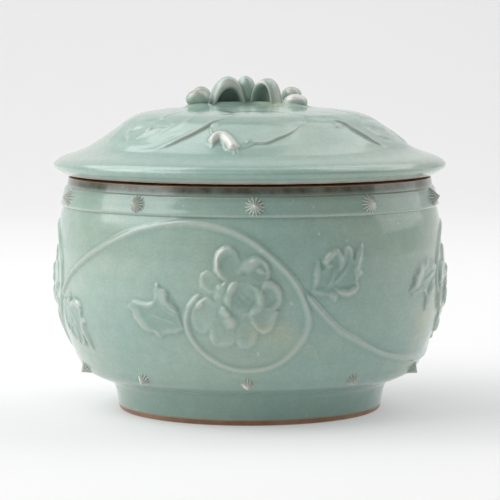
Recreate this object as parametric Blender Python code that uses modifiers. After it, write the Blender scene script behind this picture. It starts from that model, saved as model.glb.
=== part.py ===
"""A covered rice bowl in celadon-glazed stoneware, with a lift-off lid.

The bowl stands on a turned foot ring, and its axis is Z with the foot's
underside at z = 0. Round the rim runs a raised band with ten spiked studs, and
ten smaller studs sit where the belly turns in to the foot. A scroll of four
vine stems runs round the belly: each stem curls round a peony, alternately
over the top and under the bottom, and carries two leaves. The lid is a low
dome with six leaves, and its knob is a bow of two ribbon loops, a knot and
four buds. A ring under the lid locates it in the mouth of the bowl.

All the lengths are in metres. An azimuth is measured from -Y towards +X.
"""
from math import atan2, ceil, cos, hypot, pi, radians, sin

import bmesh
import bpy
from mathutils import Matrix, Vector

# ---- driving dimensions ----
TURNED_STEPS = 40                # facets round a turned piece
GAP = 0.0003                     # clearance between pieces that touch
SPRIG_GAP = 0.0005               # clearance behind a relief that follows the belly
LID_SPRIG_GAP = 0.0009           # the dome bends more sharply

FOOT_RADIUS = 0.0600             # outside of the foot ring
FOOT_HEIGHT = 0.0136
FOOT_WIDTH = 0.0085              # radial width of the foot ring
WALL = 0.0046                    # thickness of the bowl's wall
FLOOR_BOTTOM = FOOT_HEIGHT + GAP
FLOOR_TOP = 0.0194
RIM_TOP = 0.1075                 # unglazed rim that the lid rests on
RIM_RADIUS = 0.0831
MOUTH_RADIUS = RIM_RADIUS - WALL

BAND_BOTTOM = 0.0945             # raised band below the rim
BAND_TOP = 0.1026

STUDS = 10                       # in each of the two rows
UPPER_STUD_HEIGHT = 0.0986
UPPER_STUD_AZIMUTH = radians(1.4)
UPPER_STUD_TILT = radians(12)    # the band leans in, so its studs look up a little
LOWER_STUD_HEIGHT = 0.0209
LOWER_STUD_AZIMUTH = radians(-0.7)
LOWER_STUD_TILT = radians(-38)   # the lower studs point out and down

BLOSSOMS = 4                     # one to each quarter of the belly
BLOSSOM_AZIMUTH = radians(-3.5)
BLOSSOM_HEIGHT = 0.0570
BELLY_RADIUS = 0.0880            # the reliefs' arc lengths are measured at this radius
VINE_RADIUS = 0.0010
PEONY_HALF_WIDTH = 0.0180
PEONY_HALF_HEIGHT = 0.0205
PEONY_RAISED = 0.0015            # the flower's middle, above the middle of its curl
LEAF_RADIUS = 0.0125

LID_RADIUS = 0.0900
LID_SEAT = RIM_TOP + GAP         # underside of the lid where it rests on the rim
LID_THICKNESS = 0.0060
FLANGE_RADIUS = 0.0774           # the locating ring, 1.1 mm clear of the mouth
FLANGE_WIDTH = 0.0040
FLANGE_DEPTH = 0.0082
KNOB_BASE = 0.1403               # flat top of the dome, under the knob
KNOB_TOP = 0.1531

# ---- turned profiles, as (radius, height) ----
BELLY_PROFILE = [                # outside of the bowl, from the rim down to the foot
    (RIM_RADIUS, 0.1070),
    (0.0834, 0.1050),
    (0.0839, 0.1026),
    (0.0854, 0.0945),
    (0.0864, 0.0918),
    (0.0873, 0.0860),
    (0.0880, 0.0760),
    (0.0882, 0.0650),
    (0.0880, 0.0540),
    (0.0870, 0.0450),
    (0.0855, 0.0390),
    (0.0825, 0.0315),
    (0.0800, 0.0255),
    (0.0778, 0.0212),
    (0.0752, 0.0184),
    (0.0700, 0.0158),
    (0.0628, FLOOR_BOTTOM),
]
DOME_PROFILE = [                 # upper side of the lid, from the middle out to its lip
    (0.0, KNOB_BASE),
    (0.0230, KNOB_BASE),
    (0.0300, 0.1388),
    (0.0400, 0.1371),
    (0.0500, 0.1355),
    (0.0560, 0.1329),
    (0.0626, 0.1282),
    (0.0690, 0.1238),
    (0.0755, 0.1201),
    (0.0820, 0.1179),
    (0.0872, 0.1163),
    (0.0894, 0.1146),
    (LID_RADIUS, 0.1128),
]
LID_EDGE_PROFILE = [             # round the lip and in to the seat
    (0.0893, 0.1108),
    (0.0872, 0.1090),
    (0.0840, LID_SEAT),
    (0.0728, LID_SEAT),
]

# ---- one quarter of the scroll, as (arc length, height) from the blossom's centre ----
OVER_STEM = [                    # rises from the last curl and arches over the blossom
    (-0.1052, 0.0000),
    (-0.0970, 0.0062),
    (-0.0880, 0.0118),
    (-0.0671, 0.0222),
    (-0.0454, 0.0308),
    (-0.0243, 0.0345),
    (-0.0079, 0.0329),
]
UNDER_STEM = [                   # flatter; it is turned over, and dips under the blossom
    (-0.1052, -0.0005),
    (-0.0955, 0.0094),
    (-0.0879, 0.0146),
    (-0.0689, 0.0229),
    (-0.0558, 0.0262),
    (-0.0388, 0.0290),
    (-0.0207, 0.0308),
    (-0.0079, 0.0305),
]
CURL = [                         # runs on from either stem and closes round the blossom
    (0.0056, 0.0274),
    (0.0167, 0.0184),
    (0.0250, 0.0093),
    (0.0299, -0.0010),
    (0.0311, -0.0096),
    (0.0268, -0.0190),
    (0.0177, -0.0266),
    (0.0055, -0.0293),
    (-0.0065, -0.0272),
    (-0.0165, -0.0206),
    (-0.0221, -0.0110),
    (-0.0224, -0.0040),
]
VINE_SPACING = 0.0062            # distance between the points of a stem's tube
RIGHT_LEAF = (0.0456, 0.0142)    # leaf centres, measured like the route
LEFT_LEAF = (-0.0372, -0.0042)

GLAZE = (0.40, 0.58, 0.50, 1.0)
PALE_GLAZE = (0.52, 0.66, 0.60, 1.0)
BISCUIT = (0.36, 0.16, 0.08, 1.0)


# ---- scene and materials ----
def clear_scene():
    for thing in list(bpy.data.objects):
        bpy.data.objects.remove(thing, do_unlink=True)


def new_collection(name):
    collection = bpy.data.collections.new(name)
    bpy.context.scene.collection.children.link(collection)
    return collection


def make_material(name, colour, roughness):
    material = bpy.data.materials.new(name)
    material.use_nodes = True
    shader = material.node_tree.nodes["Principled BSDF"]
    shader.inputs["Base Color"].default_value = colour
    shader.inputs["Roughness"].default_value = roughness
    shader.inputs["Metallic"].default_value = 0.0
    material.diffuse_color = colour
    return material


def add_mesh_object(name, mesh, material, parent):
    mesh.name = name
    part = bpy.data.objects.new(name, mesh)
    mesh.materials.append(material)
    PARTS.objects.link(part)
    part.parent = parent
    return part


def smooth(mesh, angle=radians(40)):
    mesh.shade_smooth()
    mesh.set_sharp_from_angle(angle=angle)


# ---- surfaces that the reliefs follow ----
def interpolate(points, x):
    """Height of a broken line at x; its points are in rising order of x."""
    for (x0, y0), (x1, y1) in zip(points, points[1:]):
        if x <= x1:
            return y0 + (y1 - y0) * (x - x0) / (x1 - x0)
    return points[-1][1]


def wall_radius(height):
    return interpolate([(z, r) for r, z in reversed(BELLY_PROFILE)], height)


def on_wall(azimuth, height, lift):
    radius = wall_radius(height) + lift
    return Vector((radius * sin(azimuth), -radius * cos(azimuth), height))


def on_lid(x, y, lift):
    return Vector((x, y, interpolate(DOME_PROFILE, hypot(x, y)) + lift))


# ---- makers ----
def turned(name, outline, material, parent, closed=False):
    """Turn an outline of (radius, height) points about Z; it runs down its outer side."""
    mesh = bpy.data.meshes.new(name)
    shape = bmesh.new()
    points = [shape.verts.new((radius, 0, height)) for radius, height in outline]
    for first, second in zip(points, points[1:]):
        shape.edges.new((first, second))
    if closed:
        shape.edges.new((points[-1], points[0]))
    shape.to_mesh(mesh)
    shape.free()
    part = add_mesh_object(name, mesh, material, parent)
    screw = part.modifiers.new("turn", "SCREW")
    screw.steps = TURNED_STEPS
    screw.render_steps = TURNED_STEPS
    screw.use_merge_vertices = True
    screw.merge_threshold = 0.00001
    screw.use_smooth_shade = True
    return part


def pressed_sprig(name, segments, rings, place, material, parent):
    """A relief made from a sphere pressed flat against a surface.

    place(angle, reach, front) gives the position of a point at that angle
    round the relief, reach from 0 at its middle to 1 at its edge, and front
    True on the face that shows.
    """
    shape = bmesh.new()
    bmesh.ops.create_uvsphere(shape, u_segments=segments, v_segments=rings, radius=1.0)
    for point in shape.verts:
        angle = atan2(point.co.y, point.co.x)
        reach = hypot(point.co.x, point.co.y)
        point.co = place(angle, reach, point.co.z > 0.01)
    mesh = bpy.data.meshes.new(name)
    shape.to_mesh(mesh)
    shape.free()
    smooth(mesh)
    return add_mesh_object(name, mesh, material, parent)


def ball(name, centre, radii, segments, rings, material, parent, turn=0.0):
    shape = bmesh.new()
    bmesh.ops.create_uvsphere(shape, u_segments=segments, v_segments=rings, radius=1.0)
    mesh = bpy.data.meshes.new(name)
    bmesh.ops.scale(shape, vec=radii, verts=shape.verts)
    shape.to_mesh(mesh)
    shape.free()
    smooth(mesh)
    part = add_mesh_object(name, mesh, material, parent)
    part.location = centre
    part.rotation_euler = (0, 0, turn)
    return part


def tube(name, points, radius, material, parent):
    curve = bpy.data.curves.new(name, "CURVE")
    curve.dimensions = "3D"
    curve.bevel_depth = radius
    curve.bevel_resolution = 1
    curve.use_fill_caps = True
    spline = curve.splines.new("POLY")
    spline.points.add(len(points) - 1)
    for spot, place in zip(spline.points, points):
        spot.co = (*place, 1.0)
    part = bpy.data.objects.new(name, curve)
    curve.materials.append(material)
    PARTS.objects.link(part)
    part.parent = parent
    return part


def smooth_route(controls, spacing):
    """Evenly spaced points on the Catmull-Rom curve through the control points."""
    padded = [controls[0]] + list(controls) + [controls[-1]]
    fine = []
    for a, b, c, d in zip(padded, padded[1:], padded[2:], padded[3:]):
        for step in range(12):
            t = step / 12
            fine.append(tuple(
                0.5 * (2 * q + (r - p) * t + (2 * p - 5 * q + 4 * r - s) * t ** 2
                       + (3 * q - p - 3 * r + s) * t ** 3)
                for p, q, r, s in zip(a, b, c, d)))
    fine.append(tuple(controls[-1]))
    lengths = [0.0]
    for (x0, y0), (x1, y1) in zip(fine, fine[1:]):
        lengths.append(lengths[-1] + hypot(x1 - x0, y1 - y0))
    count = ceil(lengths[-1] / spacing)
    across = list(zip(lengths, [x for x, _ in fine]))
    up = list(zip(lengths, [y for _, y in fine]))
    marks = [lengths[-1] * k / count for k in range(count + 1)]
    return [(interpolate(across, mark), interpolate(up, mark)) for mark in marks]


# ---- the bowl ----
def make_bowl_wall(parent):
    inside = [
        (0.0, FLOOR_TOP),
        (0.0450, FLOOR_TOP + 0.0003),
        (0.0620, FLOOR_TOP + 0.0016),
        (0.0705, 0.0240),
        (0.0745, 0.0285),
    ]
    inside += [(radius - WALL, height) for radius, height in reversed(BELLY_PROFILE)
               if height > 0.031 and radius != RIM_RADIUS]
    rim = [
        (MOUTH_RADIUS, RIM_TOP - 0.0008),
        (MOUTH_RADIUS + 0.0008, RIM_TOP),
        (RIM_RADIUS - 0.0006, RIM_TOP),
    ]
    underside = [(0.0, FLOOR_BOTTOM)]
    turned("bowl_wall", inside + rim + BELLY_PROFILE + underside, WALL_GLAZE, parent)


def make_foot_ring(parent):
    inner = FOOT_RADIUS - FOOT_WIDTH
    outline = [
        (inner - 0.0012, FOOT_HEIGHT),
        (0.0624, FOOT_HEIGHT),
        (0.0613, 0.0105),
        (0.0606, 0.0070),
        (FOOT_RADIUS + 0.0005, 0.0010),
        (FOOT_RADIUS - 0.0005, 0.0),
        (inner + 0.0006, 0.0),
        (inner, 0.0008),
    ]
    turned("foot_ring", outline, FOOT_CLAY, parent, closed=True)


def make_rim_band(parent):
    back = [(wall_radius(height) + GAP, height) for height in (BAND_BOTTOM, BAND_TOP)]
    outline = [
        back[1],
        (0.0847, BAND_TOP),
        (0.0851, BAND_TOP - 0.0008),
        (0.0860, 0.0975),
        (0.0868, BAND_BOTTOM + 0.0009),
        (0.0867, BAND_BOTTOM),
        back[0],
    ]
    turned("rim_band", outline, BAND_GLAZE, parent, closed=True)


def make_studs(prefix, base_radius, stud_height, seat, height, azimuth, tilt, parent):
    """A row of ten blunt cones; seat is the radius of the middle of their bases."""
    shape = bmesh.new()
    bmesh.ops.create_cone(shape, cap_ends=True, segments=12, radius1=base_radius,
                          radius2=0.0005, depth=stud_height)
    bmesh.ops.translate(shape, vec=(0, 0, stud_height / 2), verts=shape.verts)
    mesh = bpy.data.meshes.new(prefix)
    shape.to_mesh(mesh)
    shape.free()
    smooth(mesh)
    mesh.materials.append(STUD_GLAZE)
    for k in range(STUDS):
        turn = azimuth + 2 * pi * k / STUDS
        stud = bpy.data.objects.new(f"{prefix}_{k + 1:02d}", mesh)
        PARTS.objects.link(stud)
        stud.parent = parent
        lean = Matrix.Rotation(pi / 2 - tilt, 4, "X")
        place = Matrix.Translation((0, -seat, height))
        stud.matrix_basis = Matrix.Rotation(turn, 4, "Z") @ place @ lean


def blossom_places():
    """Number, azimuth and up or down sense of each quarter of the scroll."""
    for k in range(BLOSSOMS):
        yield k + 1, BLOSSOM_AZIMUTH + 2 * pi * k / BLOSSOMS, (1, -1)[k % 2]


def make_vines(parent):
    for number, azimuth, sense in blossom_places():
        stem = OVER_STEM if sense > 0 else UNDER_STEM
        route = smooth_route(stem + CURL, VINE_SPACING)
        points = [on_wall(azimuth + across / BELLY_RADIUS, BLOSSOM_HEIGHT + sense * up,
                          VINE_RADIUS + SPRIG_GAP)
                  for across, up in route]
        tube(f"vine_{number}", points, VINE_RADIUS, VINE_GLAZE, parent)


def make_peonies(parent):
    for number, azimuth, sense in blossom_places():
        def place(angle, reach, front):
            petals = 1 + 0.09 * cos(7 * angle)
            across = PEONY_HALF_WIDTH * petals * reach * cos(angle)
            up = PEONY_RAISED + PEONY_HALF_HEIGHT * petals * reach * sin(angle)
            lift = SPRIG_GAP
            if front:
                lift += 0.0030 - 0.0012 * reach
            elif reach > 0.99:
                lift += 0.0006
            # A quarter that is turned over keeps its faces pointing out because its
            # points also run round the other way.
            return on_wall(azimuth + sense * across / BELLY_RADIUS,
                           BLOSSOM_HEIGHT + sense * up, lift)
        pressed_sprig(f"peony_{number}", 28, 6, place, PEONY_GLAZE, parent)


def make_leaves(parent):
    for number, azimuth, sense in blossom_places():
        for side, (along, above) in (("right", RIGHT_LEAF), ("left", LEFT_LEAF)):
            def place(angle, reach, front):
                lobes = 1 + 0.16 * cos(5 * angle - 0.6)
                across = along + LEAF_RADIUS * lobes * reach * cos(angle)
                up = above + LEAF_RADIUS * lobes * reach * sin(angle)
                lift = SPRIG_GAP
                if front:
                    lift += 0.0016 - 0.0006 * reach
                elif reach > 0.99:
                    lift += 0.0004
                # The lower quarters are turned over top to bottom, so their order is
                # reversed round the relief too and the faces still point outwards.
                if sense < 0:
                    across = along - LEAF_RADIUS * lobes * reach * cos(angle)
                return on_wall(azimuth + across / BELLY_RADIUS,
                               BLOSSOM_HEIGHT + sense * up, lift)
            pressed_sprig(f"leaf_{number}_{side}", 20, 4, place, LEAF_GLAZE, parent)


# ---- the lid ----
def make_lid_shell(parent):
    ceiling = [(radius, height - LID_THICKNESS) for radius, height in DOME_PROFILE
               if radius < 0.070]
    ceiling.append((0.0722, 0.1120))
    outline = DOME_PROFILE + LID_EDGE_PROFILE + list(reversed(ceiling))
    turned("lid_shell", outline, LID_GLAZE, parent)


def make_lid_flange(parent):
    outer = FLANGE_RADIUS
    inner = FLANGE_RADIUS - FLANGE_WIDTH
    top = LID_SEAT - GAP
    bottom = top - FLANGE_DEPTH
    outline = [
        (inner, top),
        (outer, top),
        (outer, bottom + 0.0012),
        (outer - 0.0010, bottom),
        (inner + 0.0008, bottom),
        (inner, bottom + 0.0010),
    ]
    turned("lid_locating_flange", outline, FLANGE_CLAY, parent, closed=True)


def make_lid_leaves(parent):
    """Three broad leaves and, between them, three small ones with curled tips."""
    kinds = (
        ("broad", radians(-56), 0.0560, 0.0190, 0.0290, 0.0018),
        ("curled", radians(3), 0.0610, 0.0115, 0.0170, 0.0014),
    )
    for kind, first, middle, half_length, half_width, thickness in kinds:
        for k in range(3):
            azimuth = first + 2 * pi * k / 3

            def place(angle, reach, front):
                point = 1 - 0.30 * abs(sin(angle)) ** 3
                out = middle + half_length * point * reach * cos(angle)
                side = half_width * reach * sin(angle) * (1 - 0.25 * cos(angle))
                lift = LID_SPRIG_GAP
                if front:
                    lift += thickness * (1 - 0.4 * reach)
                elif reach > 0.99:
                    lift += 0.0004
                x = out * sin(azimuth) + side * cos(azimuth)
                y = side * sin(azimuth) - out * cos(azimuth)
                return on_lid(x, y, lift)
            pressed_sprig(f"lid_leaf_{kind}_{k + 1}", 16, 6, place, LID_LEAF_GLAZE, parent)


def make_knob_loop(name, centre, half_width, height, side_wall, top_wall, turn, parent):
    """A ribbon curled into a hood: a pocket open at the front and closed at the back.

    The hood is half a turn of one section. Each row of the section is a forward
    distance, the outer skin's share of full size and, beside it, the pocket's.
    """
    rows = (                      # outer y, outer share, pocket y, pocket share
        (0.0048, 0.00, 0.0028, 0.00),
        (0.0046, 0.50, 0.0026, 0.50),
        (0.0034, 0.86, 0.0014, 0.84),
        (0.0008, 1.00, -0.0010, 1.00),
        (-0.0026, 1.00, -0.0030, 1.00),
        (-0.0044, 0.97, -0.0044, 1.04),
    )
    steps = 12
    mesh_builder = bmesh.new()
    rings = []
    for outer_y, outer_share, pocket_y, pocket_share in rows:
        skins = (
            (outer_y, outer_share * half_width, outer_share * height),
            (pocket_y, pocket_share * (half_width - side_wall),
             pocket_share * (height - top_wall)),
        )
        for y, across, up in skins:
            if across == 0:
                rings.append([mesh_builder.verts.new((0, y, 0))] * (steps + 1))
                continue
            rings.append([mesh_builder.verts.new((across * cos(pi * k / steps), y,
                                                  up * sin(pi * k / steps)))
                          for k in range(steps + 1)])
    outer, pocket = rings[0::2], rings[1::2]
    skin = outer + pocket[::-1]
    for near, far in zip(skin, skin[1:]):
        for k in range(steps):
            add_face(mesh_builder, near[k], far[k], far[k + 1], near[k + 1])
    for a, b, c, d in zip(outer, outer[1:], pocket[1:], pocket):
        add_face(mesh_builder, a[0], d[0], c[0], b[0])
        add_face(mesh_builder, a[-1], b[-1], c[-1], d[-1])
    bmesh.ops.recalc_face_normals(mesh_builder, faces=mesh_builder.faces)
    mesh = bpy.data.meshes.new(name)
    mesh_builder.to_mesh(mesh)
    mesh_builder.free()
    smooth(mesh)
    hood = add_mesh_object(name, mesh, KNOB_GLAZE, parent)
    hood.location = (centre[0], centre[1], KNOB_BASE + GAP)
    hood.rotation_euler = (0, 0, turn)


def add_face(mesh_builder, *corners):
    """A face through the corners, each used once."""
    ring = list(dict.fromkeys(corners))
    mesh_builder.faces.new(ring)


def make_knob(parent):
    make_knob_loop("knob_left_loop", (-0.0106, 0.0), 0.0082, 0.0121, 0.0023, 0.0046,
                   radians(22), parent)
    make_knob_loop("knob_right_loop", (0.0077, 0.0), 0.0063, 0.0112, 0.0017, 0.0022,
                   radians(-38), parent)
    knot_height = KNOB_TOP - KNOB_BASE - GAP
    ball("knob_knot", (-0.0010, 0.0044, KNOB_BASE + GAP + knot_height / 2),
         (0.0020, 0.0030, knot_height / 2), 12, 8, KNOB_GLAZE, parent)
    buds = (
        ("left_front", -0.0238, -0.0075, radians(10)),
        ("left_back", -0.0222, 0.0065, radians(-10)),
        ("right_front", 0.0210, -0.0085, radians(-10)),
        ("right_back", 0.0205, 0.0050, radians(10)),
    )
    for side, x, y, turn in buds:
        floor = interpolate(DOME_PROFILE, hypot(x, y) - 0.0030) + SPRIG_GAP
        ball(f"knob_bud_{side}", (x, y, floor + 0.0034), (0.0043, 0.0046, 0.0034),
             10, 8, KNOB_GLAZE, parent, turn)


# ---- assembly ----
def make_joint_empty(name):
    empty = bpy.data.objects.new(name, None)
    PARTS.objects.link(empty)
    return empty


clear_scene()
PARTS = new_collection("covered_rice_bowl")
WALL_GLAZE = make_material("wall_glaze", GLAZE, 0.35)
FOOT_CLAY = make_material("foot_clay", BISCUIT, 0.85)
BAND_GLAZE = make_material("band_glaze", GLAZE, 0.35)
STUD_GLAZE = make_material("stud_glaze", PALE_GLAZE, 0.40)
VINE_GLAZE = make_material("vine_glaze", PALE_GLAZE, 0.38)
PEONY_GLAZE = make_material("peony_glaze", PALE_GLAZE, 0.38)
LEAF_GLAZE = make_material("leaf_glaze", PALE_GLAZE, 0.38)
LID_GLAZE = make_material("lid_glaze", GLAZE, 0.33)
LID_LEAF_GLAZE = make_material("lid_leaf_glaze", PALE_GLAZE, 0.35)
FLANGE_CLAY = make_material("flange_clay", BISCUIT, 0.85)
KNOB_GLAZE = make_material("knob_glaze", PALE_GLAZE, 0.33)

bowl = make_joint_empty("bowl_axis")
lift_axis = make_joint_empty("lid_lift_axis")
turn_axis = make_joint_empty("lid_turn_axis")
lift_axis.parent = bowl
turn_axis.parent = lift_axis

make_bowl_wall(bowl)
make_foot_ring(bowl)
make_rim_band(bowl)
make_studs("upper_stud", 0.0048, 0.0036, 0.0860 + SPRIG_GAP, UPPER_STUD_HEIGHT,
           UPPER_STUD_AZIMUTH, UPPER_STUD_TILT, bowl)
make_studs("lower_stud", 0.0034, 0.0036, 0.0781, LOWER_STUD_HEIGHT,
           LOWER_STUD_AZIMUTH, LOWER_STUD_TILT, bowl)
make_vines(bowl)
make_peonies(bowl)
make_leaves(bowl)
make_lid_flange(lift_axis)
make_lid_shell(turn_axis)
make_lid_leaves(turn_axis)
make_knob(turn_axis)
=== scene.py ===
"""Looks for the covered celadon bowl: fine turned surfaces, relief and glaze, light and camera.

The relief is worked out as height maps on two turned surfaces, the belly of
the bowl and the dome of the lid. Each CAD piece of the relief is replaced by a
closed sheet cut from its height map, whose edge runs just under the surface
that carries it, so the joins don't show.

Azimuths are measured from -Y towards +X. Lengths are in millimetres inside the
shape functions, and each mesh is scaled to metres when it is made.
"""
from math import ceil, cos, pi, radians, sin

import bpy
import numpy as np
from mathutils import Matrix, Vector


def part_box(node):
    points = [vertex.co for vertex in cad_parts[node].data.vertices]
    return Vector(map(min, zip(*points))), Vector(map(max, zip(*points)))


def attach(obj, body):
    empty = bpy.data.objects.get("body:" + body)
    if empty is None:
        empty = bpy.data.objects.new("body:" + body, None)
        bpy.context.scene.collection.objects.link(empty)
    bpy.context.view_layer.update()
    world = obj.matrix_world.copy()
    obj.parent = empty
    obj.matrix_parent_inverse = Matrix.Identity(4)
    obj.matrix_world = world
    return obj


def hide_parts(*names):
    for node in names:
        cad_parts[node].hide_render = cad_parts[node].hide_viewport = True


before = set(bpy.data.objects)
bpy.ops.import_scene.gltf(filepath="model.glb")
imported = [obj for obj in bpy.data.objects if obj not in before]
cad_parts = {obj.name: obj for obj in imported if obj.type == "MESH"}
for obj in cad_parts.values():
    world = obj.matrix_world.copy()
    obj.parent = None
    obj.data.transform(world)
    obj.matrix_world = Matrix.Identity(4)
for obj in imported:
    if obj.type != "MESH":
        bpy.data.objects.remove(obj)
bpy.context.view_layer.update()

MM = 0.001


# ---- measures from the frame
def box_mm(node):
    """The lower and upper corners of a CAD piece's box."""
    low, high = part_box(node)
    return np.array(low) / MM, np.array(high) / MM


WALL_LOW, WALL_HIGH = box_mm("bowl_wall")
SHELL_LOW, SHELL_HIGH = box_mm("lid_shell")
FLANGE_LOW, FLANGE_HIGH = box_mm("lid_locating_flange")
FLOOR_BOTTOM, RIM_TOP = WALL_LOW[2], WALL_HIGH[2]
LID_SEAT = SHELL_LOW[2]
KNOB_FOOT = SHELL_HIGH[2] - 0.7     # where the knob's pieces meet the crown of the dome
BELLY_RADIUS = 88.0
WALL = 4.6
LID_THICKNESS = 6.0

BELLY_PROFILE = [
    (83.1, 107), (83.4, 105), (83.9, 102.6), (85.4, 94.5), (86.4, 91.8), (87.3, 86), (88, 76),
    (88.2, 65), (88, 54), (87, 45), (85.5, 39), (82.5, 31.5), (80, 25.5), (77.8, 21.2),
    (75.2, 18.4), (70, 15.8), (62.8, 13.9),
]
DOME_PROFILE = [
    (0, 139.6), (22, 139.5), (30, 138.5), (40, 137.1), (50, 135.5), (56, 132.9), (62.6, 128.2),
    (69, 123.7), (75.5, 119.8), (80, 118), (83, 117.2), (85.4, 116.4), (87.2, 115.6),
    (88.7, 114.7), (89.7, 113.8), (90, 112.9),
]


# ---- small numeric helpers
def smoothstep(low, high, x):
    t = np.clip((x - low) / (high - low), 0.0, 1.0)
    return t * t * (3 - 2 * t)


def bell(x):
    """1 at 0, falling smoothly to 0 at 1."""
    return np.clip(1 - x * x, 0.0, 1.0) ** 2


def soft_max(a, b, blend):
    """The higher of two reliefs, with the valley between them filled in."""
    share = np.clip(0.5 + 0.5 * (a - b) / blend, 0.0, 1.0)
    fillet = blend * share * (1 - share) * np.clip(np.maximum(a, b) / blend, 0, 1)
    return b + (a - b) * share + fillet


def gaussian(sigma):
    """The weights of a blur over sigma cells, and how many cells they reach to each side."""
    reach = int(ceil(3 * sigma))
    weights = np.exp(-0.5 * (np.arange(-reach, reach + 1) / sigma) ** 2)
    return weights / weights.sum(), reach


def blur(field, sigma):
    """Gaussian blur, sigma in cells; columns wrap round the axis."""
    kernel, reach = gaussian(sigma)
    out = np.zeros_like(field)
    for offset, weight in zip(range(-reach, reach + 1), kernel):
        out += weight * np.roll(field, offset, axis=1)
    padded = np.pad(out, ((reach, reach), (0, 0)), mode="edge")
    rows = field.shape[0]
    out = np.zeros_like(field)
    for k, weight in enumerate(kernel):
        out += weight * padded[k:k + rows]
    return out


def distances(line):
    """How far along a line each of its points is."""
    return np.concatenate([[0], np.cumsum(np.hypot(*np.diff(line[:, :2], axis=0).T))])


def smooth_line(points, spacing, sigma):
    """Evenly spaced points along a broken line with its corners rounded off."""
    points = np.array(points, float)
    run = distances(points)
    count = int(round(run[-1] / spacing))
    at = np.linspace(0, run[-1], count + 1)
    line = np.stack([np.interp(at, run, column) for column in points.T], axis=1)
    kernel, reach = gaussian(sigma * count / run[-1])
    before = 2 * line[0] - line[reach:0:-1]
    after = 2 * line[-1] - line[-2:-reach - 2:-1]
    padded = np.concatenate([before, line, after])
    return np.stack([np.convolve(column, kernel, "valid") for column in padded.T], axis=1)


def curve_points(controls, per_leg=10):
    """Points on the Catmull-Rom curve through the controls."""
    p = np.array([controls[0]] + list(controls) + [controls[-1]], float)
    out = []
    for a, b, c, d in zip(p, p[1:], p[2:], p[3:]):
        for t in np.arange(per_leg) / per_leg:
            out.append(0.5 * (2 * b + (c - a) * t + (2 * a - 5 * b + 4 * c - d) * t ** 2
                              + (3 * b - a - 3 * c + d) * t ** 3))
    out.append(p[-1])
    return np.array(out)


def distance_to_line(u, v, line):
    """Distance from each grid point to a polyline, and how far along it (0 to 1)."""
    best = np.full(u.shape, 1e9)
    along = np.zeros(u.shape)
    run = distances(line)
    for (x0, y0), (x1, y1), start, leg in zip(line, line[1:], run, np.diff(run)):
        if leg < 1e-9:
            continue
        t = np.clip(((u - x0) * (x1 - x0) + (v - y0) * (y1 - y0)) / leg ** 2, 0, 1)
        d = np.hypot(u - x0 - t * (x1 - x0), v - y0 - t * (y1 - y0))
        closer = d < best
        best = np.where(closer, d, best)
        along = np.where(closer, (start + t * leg) / run[-1], along)
    return best, along


def inside_line(u, v, outline):
    """True where the point is inside the closed outline."""
    inside = np.zeros(u.shape, bool)
    for (x0, y0), (x1, y1) in zip(outline, np.roll(outline, -1, axis=0)):
        crosses = (y0 > v) != (y1 > v)
        with np.errstate(divide="ignore", invalid="ignore"):
            at = x0 + (v - y0) * (x1 - x0) / (y1 - y0)
        inside ^= crosses & (u < at)
    return inside


def outline_depth(u, v, outline, shares=None):
    """Depth inside the closed curve through an outline, and the share of the nearest edge.

    Each of the outline's points may have a share, which runs evenly on to the next one's.
    """
    per_leg = 5
    line = curve_points(list(outline) + [outline[0]], per_leg)
    away, along = distance_to_line(u, v, line)
    depth = np.where(inside_line(u, v, line[:-1]), away, -away)
    if shares is None:
        return depth, 1.0
    run = distances(line)
    return depth, np.interp(along, run[::per_leg] / run[-1], list(shares) + [shares[0]])


def spin(points, angle):
    """Points turned about the vertical axis."""
    points = np.array(points, float)
    points[:, :2] = points[:, :2] @ [[cos(angle), sin(angle)], [-sin(angle), cos(angle)]]
    return points


# ---- meshes
def make_piece(name, points, faces, material, body, nodes, layers, sharp=50):
    """A mesh piece in place of CAD nodes; points in millimetres."""
    mesh = bpy.data.meshes.new(name)
    mesh.from_pydata((np.asarray(points) * MM).tolist(), [], faces)
    for key in ("pale", "pool", "bare", "burnt"):
        layer = mesh.attributes.new(key, "FLOAT", "POINT")
        if key in layers:
            layer.data.foreach_set("value", np.asarray(layers[key], np.float32))
    mesh.materials.append(material)
    mesh.shade_smooth()
    mesh.set_sharp_from_angle(angle=radians(sharp))
    mesh.validate()
    piece = bpy.data.objects.new(name, mesh)
    bpy.context.scene.collection.objects.link(piece)
    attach(piece, body)
    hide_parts(*nodes)
    return piece


def poled_faces(rows, around):
    """Faces of rows of points round an axis, with the first and last points as poles."""
    faces = []
    last = 1 + (rows - 1) * around
    for j in range(around):
        k = (j + 1) % around
        faces.append([0, 1 + j, 1 + k])
        for a in range(1, last, around):
            b = a + around
            faces.append([a + j, b + j, b + k, a + k])
        faces.append([last + around, last + k, last + j])
    return faces


def profile_tone(line, scale):
    """Pale on the convex corners of a closed profile, pooled in its hollows."""
    a = line - np.roll(line, 1, axis=0)
    b = np.roll(line, -1, axis=0) - line
    turning = a[:, 0] * b[:, 1] - a[:, 1] * b[:, 0]
    step = np.hypot(*(a + b).T) / 2 + 1e-9
    bend = -scale * turning / step ** 3
    return np.clip(bend, 0, 1), np.clip(-bend, 0, 1)


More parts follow.
